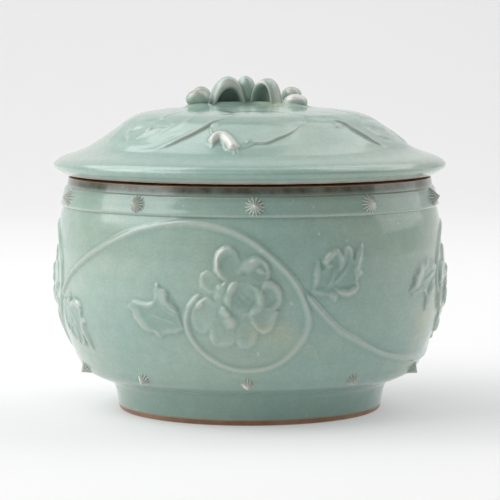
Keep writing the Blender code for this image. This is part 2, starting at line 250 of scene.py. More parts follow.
def turned_piece(name, line, columns, material, body, nodes, closed=False, **tones):
    """A turned solid from a profile that runs down its outer side.

    A tone has one value for each row, or one for each point of each row.
    """
    rows = len(line)
    azimuth = 2 * pi * np.arange(columns) / columns
    r, z = line[:, :1], line[:, 1:]
    points = np.stack([r * np.sin(azimuth), -r * np.cos(azimuth),
                       np.broadcast_to(z, (rows, columns))], axis=-1).reshape(-1, 3)
    i, j = np.meshgrid(np.arange(rows if closed else rows - 1), np.arange(columns),
                       indexing="ij")
    above, under, right = i * columns, (i + 1) % rows * columns, (j + 1) % columns
    faces = np.stack([above + j, under + j, under + right, above + right], axis=-1)
    faces = faces.reshape(-1, 4).tolist()
    layers = {key: np.broadcast_to(tone.reshape(rows, -1), (rows, columns)).ravel()
              for key, tone in tones.items()}
    if not closed:
        points = np.concatenate([points, [[0, 0, line[0, 1]], [0, 0, line[-1, 1]]]])
        layers = {key: np.pad(layer, (0, 2)) for key, layer in layers.items()}
        start = rows * columns
        last = start - columns
        for j in range(columns):
            k = (j + 1) % columns
            faces.append([start, j, k])
            faces.append([start + 1, last + k, last + j])
    return make_piece(name, points, faces, material, body, nodes, layers)


# ---- charts and relief sheets
class Chart:
    """A turned surface as a fine grid: columns round the axis, rows along its profile."""

    BLOCK = 4            # cells along each side of a block, the unit that sheets share out
    MARGIN_BLOCKS = 4    # how far a sheet runs on past its relief
    GLAZE_BLUR = 0.9     # how much the glaze softens the relief, in cells
    SHEET_DEPTH = 0.5    # how far a sheet goes down into the surface

    def __init__(self, line, columns):
        self.line = line
        self.rows, self.columns = len(line), columns
        step = np.gradient(line, axis=0)
        length = np.hypot(*step.T)
        self.normal = np.stack([-step[:, 1], step[:, 0]], axis=1) / length[:, None]
        self.azimuth = 2 * pi * np.arange(columns) / columns
        self.height = np.zeros((self.rows, columns))
        self.thin = np.zeros((self.rows, columns))
        self.owner = np.full((self.rows, columns), -1)
        self.names = []

    def add(self, name, rows, columns, height, thin):
        """Lay one relief on the chart; where it is the highest so far, it owns the cell.

        Thin is how far the glaze runs off it and pales, up to 1, and on the lid's curl a painted
        highlight too; below 0 it pools.
        """
        window = np.ix_(rows, columns)
        over = (height > self.height[window]) & (height > 0.03)
        self.owner[window] = np.where(over, len(self.names), self.owner[window])
        self.names.append(name)
        self.height[window] = np.maximum(self.height[window], height)
        stronger = np.abs(thin) > np.abs(self.thin[window])
        self.thin[window] = np.where(stronger, thin, self.thin[window])

    def finish(self):
        """Soften the relief as glaze does, tone it, and share out blocks of cells."""
        self.height = blur(self.height, self.GLAZE_BLUR)
        fine, wide = blur(self.height, 2.2), blur(self.height, 5.0)
        broad = blur(self.height, 15.0)
        crest = (self.height - fine) * 1.5 + (self.height - wide) * 0.3
        thin = blur(self.thin, 1.0)
        self.pale = np.clip(0.85 * np.maximum(crest, 0) + np.maximum(thin, 0), 0, 1)
        hollow = (wide - self.height) * 0.95 + broad * 0.16
        self.pool = np.clip(hollow + np.maximum(-thin, 0), 0, 1)
        block = self.BLOCK
        rows, columns = self.rows // block, self.columns // block
        owner = self.owner[:rows * block, :columns * block]
        owner = owner.reshape(rows, block, columns, block).max(axis=(1, 3))
        reach = np.where(owner >= 0, 0, 99)
        for ring in range(1, self.MARGIN_BLOCKS + 1):
            for shift, axis in ((1, 0), (-1, 0), (1, 1), (-1, 1)):
                near = np.roll(owner, shift, axis)
                if axis == 0:
                    near[0 if shift == 1 else -1] = -1
                take = (owner < 0) & (near >= 0)
                reach[take] = ring
                owner = np.where(take, near, owner)
        self.blocks = owner
        far = np.minimum(reach, self.MARGIN_BLOCKS) / self.MARGIN_BLOCKS
        film = np.repeat(np.repeat(far, block, 0), block, 1)
        film = np.pad(film, ((0, self.rows - film.shape[0]), (0, 0)), mode="edge")
        self.film = 0.02 - 0.045 * smoothstep(0.1, 0.95, blur(film, 3.0))

    def place(self, row, column, lift):
        """Points at grid rows and columns, lifted along the surface's normal."""
        azimuth = self.azimuth[column % self.columns]
        r = self.line[row, 0] + lift * self.normal[row, 0]
        z = self.line[row, 1] + lift * self.normal[row, 1]
        return np.stack([r * np.sin(azimuth), -r * np.cos(azimuth), z], axis=-1)

    def sheets(self, material, body):
        """One closed sheet for each relief: fine cells in front, a quad a block behind."""
        block = self.BLOCK
        along = range(block + 1)
        wrap = self.columns // block
        for number, name in enumerate(self.names):
            owned = np.argwhere(self.blocks == number).tolist()
            mine = set(map(tuple, owned))
            index, points, faces = {}, [], []

            def corner(row, column, behind=0):
                key = (row, column % self.columns, behind)
                if key not in index:
                    index[key] = len(points)
                    points.append(key)
                return index[key]

            for bi, bj in owned:
                top, left = bi * block, bj * block
                low, right = top + block, left + block
                for i in range(top, low):
                    for j in range(left, right):
                        faces.append([corner(i, j), corner(i + 1, j),
                                      corner(i + 1, j + 1), corner(i, j + 1)])
                faces.append([corner(top, left, 1), corner(top, right, 1),
                              corner(low, right, 1), corner(low, left, 1)])
                sides = (
                    ((bi - 1, bj), [(top, left + k) for k in along]),
                    ((bi, (bj + 1) % wrap), [(top + k, right) for k in along]),
                    ((bi + 1, bj), [(low, right - k) for k in along]),
                    ((bi, (bj - 1) % wrap), [(low - k, left) for k in along]),
                )
                for neighbour, edge in sides:
                    if neighbour not in mine:
                        faces.append([corner(*spot) for spot in edge]
                                     + [corner(*edge[-1], 1), corner(*edge[0], 1)])
            grid = np.array(points)
            row = np.minimum(grid[:, 0], self.rows - 1)
            column = grid[:, 1]
            lift = self.height[row, column] + self.film[row, column]
            lift = np.where(grid[:, 2] == 1, -self.SHEET_DEPTH, lift)
            layers = {"pale": self.pale[row, column], "pool": self.pool[row, column]}
            make_piece(name, self.place(row, column, lift), faces, material, body, [name],
                       layers)


class Nodes:
    """Short names for adding and joining shader nodes."""

    def __init__(self, name):
        self.material = bpy.data.materials.new(name)
        self.material.use_nodes = True
        self.tree = self.material.node_tree
        self.shader = self.tree.nodes["Principled BSDF"]

    def put(self, socket, value):
        if hasattr(value, "is_output"):
            self.tree.links.new(value, socket)
        else:
            socket.default_value = value

    def node(self, kind, inputs, output=0, **settings):
        """A new node's output, with its settings and its inputs' values or sources."""
        node = self.tree.nodes.new(kind)
        for key, value in settings.items():
            setattr(node, key, value)
        for key, value in inputs.items():
            self.put(node.inputs[key], value)
        return node.outputs[output]

    def surface(self, **inputs):
        """Set or feed the shader's inputs; an underscore stands for a space."""
        for key, value in inputs.items():
            self.put(self.shader.inputs[key.replace("_", " ")], value)

    def math(self, operation, a, b, clamp=False):
        return self.node("ShaderNodeMath", {0: a, 1: b}, operation=operation, use_clamp=clamp)

    def mix(self, factor, a, b, blend="MIX"):
        return self.node("ShaderNodeMix", {0: factor, 6: a, 7: b}, 2, data_type="RGBA",
                         blend_type=blend)

    def ramp(self, value, low, high):
        return self.node("ShaderNodeMapRange", {0: value, 1: low, 2: high},
                         interpolation_type="SMOOTHSTEP")

    def noise(self, scale, detail=2.0, roughness=0.5, stretch=(1, 1, 1), offset=0.0):
        where = self.node("ShaderNodeTexCoord", {}, "Object")
        where = self.node("ShaderNodeMapping", {"Vector": where, "Scale": stretch})
        shift = (offset, offset * 0.7, -offset)
        where = self.node("ShaderNodeVectorMath", {0: where, 1: shift}, operation="ADD")
        return self.node("ShaderNodeTexNoise", {"Vector": where, "Scale": scale,
                                                "Detail": detail, "Roughness": roughness}, "Fac")

    def layer(self, name):
        return self.node("ShaderNodeAttribute", {}, "Fac", attribute_name=name)

    def bump(self, height, distance, strength, **under):
        return self.node("ShaderNodeBump", {"Height": height, "Distance": distance,
                                            "Strength": strength, **under})


CELADON = (0.37, 0.482, 0.402, 1)
CELADON_BLUE = (0.315, 0.466, 0.413, 1)
CELADON_OLIVE = (0.43, 0.485, 0.35, 1)
# Deep glaze, also used as painted shade.
CELADON_DEEP_AND_SHADE = (0.13, 0.25, 0.22, 1)
# Thin glaze, also used as painted light.
CELADON_THIN_AND_LIT = (0.56, 0.58, 0.525, 1)
# A painted highlight.
CELADON_GLINT = (0.78, 0.78, 0.72, 1)
CLAY = (0.23, 0.112, 0.058, 1)
CLAY_DARK = (0.13, 0.06, 0.032, 1)
CLAY_PALE = (0.32, 0.18, 0.105, 1)
CLAY_FLASH = (0.36, 0.22, 0.118, 1)
# Mostly painted shade under the lid, tinted iron-brown.
IRON_BROWN_AND_SHADE = (0.07, 0.066, 0.044, 1)


def clay_colour(n):
    grain = n.noise(900.0, 3.0, 0.7)
    cloud = n.noise(60.0, 3.0, 0.6, offset=3.0)
    colour = n.mix(n.ramp(cloud, 0.3, 0.7), CLAY, CLAY_PALE)
    return n.mix(n.ramp(grain, 0.58, 0.72), colour, CLAY_DARK)


def varied(n, colour, drift, dark, light):
    """The colour, multiplied by one that drifts between dark and light."""
    return n.mix(1.0, colour, n.mix(drift, dark + (1,), light + (1,)), "MULTIPLY")


def make_celadon(name):
    """Soft blue-green glaze with bare clay: pale where it thins, deep where it pools, the same
    colours also painted as light and shade, and a painted glint.
    """
    n = Nodes(name)
    drift = n.ramp(n.noise(16.0), 0.35, 0.70)
    colour = n.mix(drift, CELADON, CELADON_BLUE)
    olive = n.ramp(n.noise(22.0, offset=1.7), 0.60, 0.74)
    colour = n.mix(n.math("MULTIPLY", olive, 0.75), colour, CELADON_OLIVE)
    mottle = n.noise(190.0, 4.0, 0.65, offset=0.4)
    colour = varied(n, colour, n.ramp(mottle, 0.35, 0.75), (0.94, 0.95, 0.95),
                    (1.05, 1.04, 1.05))
    streak = n.noise(7.0, 3.0, 0.6, stretch=(1, 1, 30), offset=5.0)
    colour = varied(n, colour, n.ramp(streak, 0.35, 0.7), (0.975, 0.98, 0.98),
                    (1.02, 1.02, 1.015))
    sand = n.noise(1000.0, 2.0, 0.6, offset=8.0)
    colour = varied(n, colour, n.ramp(sand, 0.35, 0.65), (0.955, 0.96, 0.955),
                    (1.035, 1.035, 1.035))
    specks = n.ramp(n.noise(420.0, 0.0, 0.5, offset=4.4), 0.84, 0.87)
    colour = n.mix(n.math("MULTIPLY", specks, 0.8), colour, CELADON_THIN_AND_LIT)
    # Deep glaze where it pools, also painted shade: under the lid, inside the knob's pockets,
    # under the buds and low on the bowl.
    pool = n.math("MULTIPLY", n.layer("pool"), 0.75, clamp=True)
    colour = n.mix(pool, colour, CELADON_DEEP_AND_SHADE)
    # Pale where the glaze thins, also painted light: on the buds' crowns, under the lid's edge, at
    # the studs' cores and on the lid's curl.
    ragged = n.math("ADD", n.math("MULTIPLY", mottle, 0.5), 0.75)
    pale = n.math("MULTIPLY", n.layer("pale"), ragged, clamp=True)
    colour = n.mix(n.math("MULTIPLY", pale, 0.85), colour, CELADON_THIN_AND_LIT)
    # A painted highlight, near white, where the pale layer is highest: the studs' cores, the lid's
    # curl and the peony's crescent.
    colour = n.mix(n.math("MULTIPLY", n.ramp(n.layer("pale"), 0.85, 1.0), 0.6), colour,
                   CELADON_GLINT)
    # Dark iron brown: painted shade under the lid's overhang, with some brown of thin glaze over
    # iron-rich clay.
    burnt = n.math("MULTIPLY", n.layer("burnt"), n.math("ADD", mottle, 0.45), clamp=True)
    colour = n.mix(burnt, colour, IRON_BROWN_AND_SHADE)

    wander = n.math("MULTIPLY", n.math("SUBTRACT", n.noise(120.0, 3.0, 0.6), 0.5), 0.35)
    bare = n.math("ADD", n.layer("bare"), wander)
    clay = n.ramp(bare, 0.60, 0.76)
    flash = n.math("MULTIPLY", n.ramp(bare, 0.25, 0.55), 0.75)
    colour = n.mix(flash, colour, CLAY_FLASH)
    colour = n.mix(clay, colour, clay_colour(n))

    rough = n.mix(clay, (0.24, 0.24, 0.24, 1), (0.9, 0.9, 0.9, 1))
    ripple = n.bump(n.noise(75.0, offset=2.2), 0.0006, 0.35)
    peel = n.bump(n.noise(520.0), 0.00012, 0.30, Normal=ripple)
    n.surface(Base_Color=colour, Roughness=rough, Coat_Weight=0.6, Coat_Roughness=0.09,
              Normal=peel)
    return n.material


def make_biscuit():
    n = Nodes("fired_clay")
    n.surface(Base_Color=clay_colour(n), Roughness=0.9,
              Normal=n.bump(n.noise(1500.0, 3.0, 0.7), 0.0002, 0.5))
    return n.material


def make_backdrop_material():
    n = Nodes("studio_paper")
    n.surface(Base_Color=(0.60, 0.60, 0.60, 1), Roughness=0.9, Specular_IOR_Level=0.1,
              Emission_Color=(1, 1, 1, 1), Emission_Strength=0.31)
    return n.material


GLAZE = make_celadon("soft_celadon")
FOOT_GLAZE = make_celadon("foot_celadon")
BISCUIT = make_biscuit()


# ---- the scroll on the belly
BLOSSOM_AZIMUTH = radians(-3.5)
BLOSSOM_HEIGHT = 57.0
OVER_STEM = [(-110, -3), (-105.2, 0), (-97, 6.2), (-88, 11.8), (-67.1, 22.2), (-45.4, 30.8),
             (-24.3, 34.5), (-7.9, 32.9)]
UNDER_STEM = [(-109.5, -6), (-105.2, -0.5), (-95.5, 9.4), (-87.9, 14.6), (-68.9, 22.9),
              (-55.8, 26.2), (-38.8, 29), (-20.7, 30.8), (-7.9, 30.5)]
CURL = [(5.6, 27.4), (16.7, 18.4), (25, 9.3), (29.9, -1), (31.1, -9.6), (26.8, -19), (17.7, -26.6),
        (5.5, -29.3), (-6.5, -27.2), (-16.5, -20.6), (-22.1, -11), (-21.5, -3), (-17.4, 2.7),
        (-14, 4.6)]
TENDRIL = [(27, -20.5), (33, -18.6), (35.6, -21.2), (38.4, -27), (41.6, -33)]
HEART = (2.9, 3.5)


def ridge(u, v, line, half_width, height, taper):
    """A rounded cord of clay along a line, thinning at both ends."""
    away, along = distance_to_line(u, v, line)
    ends = smoothstep(0, taper, along) * smoothstep(0, taper, 1 - along)
    width = half_width * (0.4 + 0.6 * ends)
    return height * bell(away / width) * (0.2 + 0.8 * ends)


def pad(u, v, outline, level, rim, width, strengths, shoulder):
    """A piece of rolled clay inside an outline, with a soft shoulder and a raised rim.

    The rim's height can change round the outline, by a share for each of its points.
    """
    depth, share = outline_depth(u, v, outline, strengths)
    crest = rim * share * np.exp(-((depth - 0.5 * width) / width) ** 2)
    return smoothstep(-shoulder, 0.45 * shoulder, depth) * (level + crest)


def ridges(u, v, routes, taper=0.36):
    """The highest of several ridges, each given as its points, half-width and height."""
    height = np.zeros(u.shape)
    for points, half_width, rise in routes:
        line = curve_points(points, 5) if len(points) > 2 else np.array(points, float)
        height = np.maximum(height, ridge(u, v, line, half_width, rise, taper))
    return height


PETALS = (   # outline, level, rim height, rim width, share of the rim at each point
    ([(-8, -4), (-9, 5), (-2, 11), (7, 11.5), (12, 5), (11, -4), (4, -9), (-4, -9.5)], 0.5, 0, 1,
     None),
    ([(-18.9, -1.5), (-19.8, -6.5), (-17.9, -10.9), (-14.1, -12.6), (-10.7, -9.5), (-8.5, -4),
     (-8.5, 1), (-13.5, 2.4)], 0.5, 0.45, 1.3, (0.5, 0.3, 0.5, 0.9, 1, 0.2, 0, 0.3)),
    ([(-15.9, 9.8), (-15.6, 12), (-13.5, 13.9), (-10, 13.3), (-7, 10), (-7.6, 5.6), (-11.4, 5),
     (-14.8, 6.9)], 0.4, 0.5, 1.2, (1, 0.8, 0.5, 0.3, 0, 0, 0.5, 1)),
    ([(-11.8, -11.5), (-11.2, -15.9), (-8.6, -18.4), (-3.3, -17.7), (-0.3, -14.3), (-1.5, -8),
     (-6, -5), (-10, -7)], 0.5, 0.5, 1.3, (1, 1.1, 0.7, 0.5, 0.7, 0.1, 0, 0.3)),
    ([(-0.3, -13.6), (0.6, -17.4), (3.9, -19.3), (7.2, -16.6), (8.7, -11.5), (5.5, -8), (1, -8.6)],
     0.55, 0.6, 1.1, (0.5, 0.8, 1, 0.9, 0.5, 0, 0.1)),
    ([(4, 12), (6, 18), (9, 19.8), (12.2, 18.4), (13.8, 15.3), (13, 10.4), (9, 9)], 0.4, 0.85, 0.7,
     (0, 0, 0.6, 1, 1, 0.9, 0.1)),
    ([(5, -4.6), (7.2, -9.5), (11, -12.1), (14.5, -10.4), (16.2, -6.2), (17.2, -2.6), (12, -0.8),
     (7, -2)], 0.8, 0.8, 1.2, (0.6, 1, 1, 0.8, 0.9, 0.7, 0, 0)),
    ([(10.6, 8), (12, 9.6), (14.6, 9.6), (17.7, 7.2), (19.1, 2.9), (17.4, -0.9), (14, -2.6),
     (10.6, -1.2), (9.6, 3.5)], 0.75, 1.15, 1.1, (0.7, 1.1, 1.1, 1, 1, 0.8, 0.4, 0.1, 0.2)),
    ([(-0.6, 23.6), (-3.1, 24.6), (-5.8, 24.1), (-8.3, 21.9), (-9.5, 17.9), (-8.9, 14),
     (-6.2, 10.9), (-2, 10), (1.5, 12.5), (1.6, 18)], 0.25, 2.1, 1.15, (0.4, 0.9, 1, 1, 1, 0.9,
     0.5, 0, 0, 0)),
)
PETAL_FOLDS = (   # points, half-width, height
    ([(0.6, 14.4), (4.6, 16.8), (9, 19), (11.8, 19.6)], 2, 1.7),
    ([(7.6, 16.2), (10, 14.7), (12.4, 13.2)], 1, 0.8),
    ([(-18.2, -2.4), (-16.2, -0.2), (-13.8, 1.6)], 1.6, 1.3),
    ([(-6.8, -0.2), (-5, -3), (-2.6, -6.4)], 1.9, 2),
    ([(-4.4, -3.8), (-1.6, -8.4), (0.2, -10.2)], 2.6, 2.1),
    ([(2.4, 9.4), (-1, 8.2), (-3.2, 4.8), (-3.6, 1.6), (-2.4, -1.8)], 1.7, 2.1),
    ([(6.4, 8.2), (8.8, 6.2), (9.8, 3.3), (9.2, -0.7), (6.4, -3), (3.2, -3.9)], 1.7, 2),
    ([(-4.2, 9.6), (-6.6, 5.6), (-6.9, 1.2)], 2.6, 1.25),
)
PETALS_THIN = (   # points, half-width, how pale
    ([(-1.5, 23.6), (-5.6, 23.6), (-8.4, 21), (-9, 17.6), (-8.3, 14), (-6.4, 11.4)], 1.5, 0.75),
    ([(2.2, 15.6), (5.6, 17.8), (9.6, 19.3)], 1.6, 0.4),
    ([(9, 19.6), (12.1, 18.2), (13.6, 15.3), (13, 11)], 0.7, 0.5),
    ([(8.2, 15.8), (11.8, 13.6)], 0.9, 0.3),
    ([(11.4, 8.8), (14.4, 9.3), (17.3, 7), (18.6, 2.9), (17, -0.6)], 1.3, 0.4),
    ([(-17.8, -2.1), (-14.2, 1.4)], 1.2, 0.45),
    ([(-6.4, -0.8), (-3.7, -4.8), (-0.6, -9.3)], 1.8, 0.55),
    ([(7.4, -9.3), (11, -11.6), (14.3, -10), (16, -6.2)], 1.2, 0.35),
    ([(1.6, 9), (-1.8, 6.6), (-3.2, 2.6)], 1.3, 0.3),
    ([(-11.3, -12.4), (-11, -16)], 1.6, 0.4),
)


def peony(u, v):
    """The open flower: overlapping cupped petals, folded edges and a sunken heart."""
    ragged = 0.10 * np.sin(1.3 * u + 0.6 * v) + 0.08 * np.sin(1.6 * v - 0.9 * u + 1.0)
    a, b = u + ragged, v + ragged * 0.8
    petals = np.zeros(u.shape)
    for outline, level, rim, width, strengths in PETALS:
        petal = pad(a, b, outline, level, 0.62 * rim, 1.5 * width, strengths, 1.4)
        petals = soft_max(petals, petal, 0.4)
    swell = np.clip(1 - ((u - 1) / 19) ** 2 - ((v - 1) / 22) ** 2, 0, 1) ** 1.3
    folds = ridges(a, b, [(points, 1.6 * half, rise) for points, half, rise in PETAL_FOLDS])
    height = 0.9 * petals + 1.5 * swell + 0.56 * folds
    hollow = bell(np.hypot(u - HEART[0], v - HEART[1]) / 6.4)
    seeds = 0.10 * np.cos(1.6 * (u - HEART[0])) * np.cos(1.6 * (v - HEART[1]))
    height = np.maximum(height - (0.45 - seeds) * hollow, 0)
    return height, ridges(a, b, PETALS_THIN)


def vine(u, v, route):
    """The main stem, and a trace of a tendril beside it."""
    tendril = ridge(u, v, curve_points(TENDRIL, 5), 0.8, 0.22, 0.04)
    stem = ridge(u, v, route, 2.1, 1.0, 0.02)
    return np.maximum(stem, tendril), ridge(u, v, route, 1.3, 0.24, 0.02)


RIGHT_LEAF = [
    (32.5, 5.5), (34, 10.3), (34, 14), (35.1, 18.2), (36.4, 14.6), (38.2, 15.4), (38.4, 18.8),
    (41, 21.2), (44.1, 22.8), (46.4, 19.8), (47.4, 21.4), (48.8, 23.4), (51.4, 21.8), (51.8, 18.6),
    (53.2, 19.2), (55, 22.5), (56.6, 24.5), (57, 22), (55.2, 18), (54.5, 13.6), (56.4, 12.5),
    (54.5, 11), (53.6, 9), (54.4, 6.6), (52.2, 4), (49, 3), (45.9, 3.4), (44.2, 3.9), (43.3, 0.8),
    (41.5, 1.8), (39.6, 3.4), (36, 3.6),
]
RIGHT_LEAF_FOLDS = (
    ([(40.2, 15.4), (38.9, 18.4), (41, 20.8), (44, 22.5)], 1.3, 1.15),
    ([(44, 22.5), (46.1, 19.6), (45.8, 16), (43.4, 13.6)], 1.1, 0.95),
    ([(35, 17.8), (34.9, 14), (34.3, 10.3), (33, 6.8)], 1.1, 0.75),
    ([(38.8, 15.6), (41.2, 16.6)], 1, 0.8),
    ([(47.6, 19.6), (48.8, 22.9), (51, 21.6), (51.6, 18)], 1.1, 0.62),
    ([(56.5, 24.2), (55.4, 19.6), (53.8, 14), (53.1, 9.4)], 1.8, 0.95),
    ([(56.2, 12.4), (53.6, 11.4)], 1, 0.85),
    ([(43.2, 6.2), (45.9, 4.6), (49, 4), (51.7, 4.8), (53.7, 6.8), (52.9, 8.6)], 1.6, 1.6),
    ([(40.7, 5.6), (43.2, 1.3)], 1.3, 0.72),
    ([(31.8, 3.2), (34.5, 4.6), (38.5, 6.4)], 1.3, 0.55),
    ([(38.5, 6.4), (42, 11), (43, 17)], 0.9, 0.62),
    ([(40, 7), (46, 11.5), (50, 17.5)], 0.9, 0.62),
)
LEFT_LEAF = [
    (-23.5, -10.8), (-25.5, -6.5), (-26.3, -3), (-27.6, -1.3), (-30.6, 0.5), (-31.5, 4.1),
    (-34.4, 5.9), (-36, 7.6), (-37.2, 5.6), (-36.8, 2.2), (-38.8, -0.6), (-41.4, -1.2),
    (-44, -0.9), (-47.8, -0.2), (-51.2, -2.2), (-49.8, -3.8), (-47.9, -5.7), (-47.7, -7.7),
    (-45.9, -8.8), (-44.1, -10.8), (-42, -12.9), (-39, -13.3), (-37.2, -13.4), (-35, -15.2),
    (-32.4, -13.7), (-27.5, -12.9), (-24.5, -11.7),
]
LEFT_LEAF_FOLDS = (
    ([(-50.2, -2.3), (-46.8, -3.8), (-45.4, -6.8), (-43.2, -9.4), (-40.6, -11.2), (-37.8, -12)],
     2.3, 1.05),
    ([(-36, 7), (-34, 3.6), (-32.6, 0.8), (-30, -1.2), (-26.4, -3.4)], 2.6, 1.2),
    ([(-31.4, -1.2), (-26, -4.4)], 0.9, 1.25),
    ([(-32.2, -3), (-26.2, -5.9)], 0.9, 0.85),
    ([(-38, -12.2), (-35.2, -14.8)], 1.4, 0.75),
    ([(-34, -12.6), (-28, -11.8), (-23.6, -10.6)], 1.6, 0.62),
    ([(-50.2, -2), (-44, -1.5), (-39, -1.6), (-36.5, 1)], 1.2, 0.6),
    ([(-24, -10.2), (-32, -7.6), (-41, -5.2)], 0.9, 0.5),
)
RIGHT_LEAF_THIN = (
    ([(43.4, 6.1), (45.9, 4.5), (49, 3.9), (51.7, 4.7), (53.7, 6.8), (52.9, 8.6)], 1.3, 0.6),
    ([(40.2, 15.4), (38.9, 18.4), (41, 20.8), (44, 22.4), (46.1, 19.6), (45.6, 16)], 1.2, 0.4),
    ([(56.5, 24.2), (55.4, 19.6), (53.8, 14), (53.1, 9.4)], 1.6, 0.3),
    ([(35, 17.8), (34.3, 10.3), (33, 6.8)], 1.2, 0.25),
    ([(40.7, 5.6), (43.2, 1.3)], 1.4, 0.3),
    ([(56.2, 12.4), (53.8, 11.4)], 1.2, 0.35),
)
LEFT_LEAF_THIN = (
    ([(-49.8, -2.6), (-46.6, -4), (-45.6, -7), (-43.6, -9.9), (-41, -12), (-37.8, -12.8)], 1.6,
     0.4),
    ([(-36, 6.8), (-33.6, 3.8), (-32.2, 1), (-29.6, -0.9)], 2, 0.45),
    ([(-31.4, -1.2), (-26, -4.4)], 0.7, 0.35),
    ([(-37, -13), (-35.2, -14.6)], 1.2, 0.4),
)


def leaf(u, v, outline, folds, thin):
    """A jagged leaf: a thin body with folded edges and veins standing on it."""
    ragged = 0.15 * np.sin(1.5 * u - 1.1 * v) * np.sin(1.3 * v + 0.4)
    a, b = u + ragged, v - ragged
    body = pad(a, b, outline, 0.55, 0.18, 1.2, None, 1.1)
    raised = ridges(a, b, [(points, 1.7 * half, rise) for points, half, rise in folds])
    pale = ridges(a, b, [(points, 1.4 * half, much) for points, half, much in thin])
    return body + 0.5 * raised, np.where(pale > 0.06, 0.8 * pale, -0.45 * body)


def carve_scroll(chart):
    """Lay the four vines, four peonies and eight leaves on the belly's chart."""
    for k in range(4):
        sense = (1, -1)[k % 2]
        azimuth = BLOSSOM_AZIMUTH + pi / 2 * k
        turned_by = (chart.azimuth - azimuth + radians(125)) % (2 * pi) - radians(125)
        across = BELLY_RADIUS * turned_by
        stem = OVER_STEM if sense > 0 else UNDER_STEM
        route = curve_points(stem + CURL, 6)
        shapes = (
            (f"vine_{k + 1}", -114, 46, lambda u, v: vine(u, v, route)),
            (f"peony_{k + 1}", -27, 27, lambda u, v: peony(u * sense, v)),
            (f"leaf_{k + 1}_right", 28, 62,
             lambda u, v: leaf(u, v, RIGHT_LEAF, RIGHT_LEAF_FOLDS, RIGHT_LEAF_THIN)),
            (f"leaf_{k + 1}_left", -58, -20,
             lambda u, v: leaf(u, v, LEFT_LEAF, LEFT_LEAF_FOLDS, LEFT_LEAF_THIN)),
        )
        for name, low, high, shape in shapes:
            columns = np.flatnonzero((across > low) & (across < high))
            u, z = np.meshgrid(across[columns], chart.line[:, 1])
            height, thin = shape(u, (z - BLOSSOM_HEIGHT) * sense)
            chart.add(name, np.arange(chart.rows), columns, height, thin)


# ---- the leaves on the lid
BROAD_LEAF = (   # outward, sideways, share of the edge's height
    (26, 15, 0), (29, 36, 0.1), (35.5, 37, 0.6), (42.3, 35.2, 0.9), (47.2, 35, 1), (53.5, 33.6, 1),
    (58.2, 31.8, 1), (63.6, 29.6, 0.8), (68.5, 25, 0.2), (71.5, 18, 0.1), (73, 10, 0.1),
    (73, -0.4, 0.1), (70.9, -9.2, 0.4), (67.8, -12.2, 0.8), (64, -13.6, 1), (59, -15.5, 1),
    (54.9, -16.4, 0.9), (49.8, -20, 0.35), (45, -28, 0.15), (33, -28, 0), (27, -10, 0),
)
BROAD_VEINS = (   # points, half-width, height
    ([(58.9, -6.3), (62.7, -3.4), (67.9, 4.2)], 2.2, 0.38),
    ([(58.8, 8.8), (60.6, 10), (62.6, 11.2)], 2.2, 0.85),
    ([(57, 18.6), (60, 14.2), (62.6, 11), (65.4, 8.4)], 2.4, 0.6),
    ([(53.2, -24.5), (53.6, -21), (54.9, -17.6)], 2, 0.6),
    ([(38, 5), (48, 6.5), (58, 8.6)], 2.6, 0.24),
    ([(44, 22), (52, 24), (60, 20)], 2.6, 0.24),
)
BROAD_HOLLOWS = (   # points, half-width, depth
    ([(52, 31), (56.2, 30), (60.8, 26.9), (65.8, 24), (69.9, 18.5)], 2.4, 0.42),
    ([(62.6, -3.5), (61.3, 0.5), (60.8, 6.4)], 2.4, 0.38),
    ([(57.4, -5.5), (55.2, 3), (54.1, 12.3), (54.4, 19)], 2.8, 0.36),
    ([(66, -4), (68, 1), (69, 5)], 1.8, 0.25),
)
CURLED_LEAF = (
    (42, -17, 0), (50, -19.4, 0.3), (55.3, -19.9, 0.8), (61.2, -19.3, 0.9), (65.2, -18.6, 0.6),
    (67.6, -13, 0.2), (70.6, -8, 0.3), (69.4, -4, 0.5), (67.6, -1.2, 0.9), (67.3, 4, 1),
    (64.3, 8.7, 1), (61.4, 13, 0.9), (56, 18, 0.6), (49, 22, 0.2), (42, 20, 0), (36, 10, 0),
    (36, -8, 0),
)
CURL_FOLD = (
    ([(66.4, -19.6), (63.6, -19.2), (61.4, -17.6), (61.6, -15), (64.2, -13), (67.8, -11.6),
     (72.4, -10)], 3.6, 2.6),
)
CURLED_FOLDS = (
    ([(54, -20.2), (58, -19.8), (62, -19)], 1.2, 0.9),
    ([(50.4, -14.4), (48.6, -9), (42, -4)], 1.3, 0.35),
    ([(57, 3), (53.5, 8), (52, 15)], 3, 0.35),
    ([(68.6, -5.4), (66.2, -3.6), (66.8, -1)], 1.2, 0.75),
)


def lid_leaf(out, side, edges, body, edge_height):
    """A leaf laid on the dome: its edge stands up crisply and its middle sinks away."""
    edges = np.array(edges)
    depth, share = outline_depth(out, side, edges[:, :2], edges[:, 2])
    crisp = smoothstep(-0.55, 0.35, depth)
    gentle = smoothstep(-1.0, 4.0, depth)
    step = crisp * share + gentle * (1 - share)
    fade = smoothstep(26, 44, np.hypot(out, side))
    rise = body + edge_height * share * np.exp(-np.maximum(depth, 0) / 4.0)
    thin = 0.55 * share ** 2 * fade * np.exp(-((depth - 0.25) / 0.75) ** 2)
    return step * fade * rise, thin


def broad_leaf(out, side):
    height, thin = lid_leaf(out, side, BROAD_LEAF, 0.55, 0.75)
    veins = ridges(out, side, BROAD_VEINS)
    height = height + veins - ridges(out, side, BROAD_HOLLOWS)
    return np.maximum(height, 0), np.maximum(thin, 0.55 * veins)


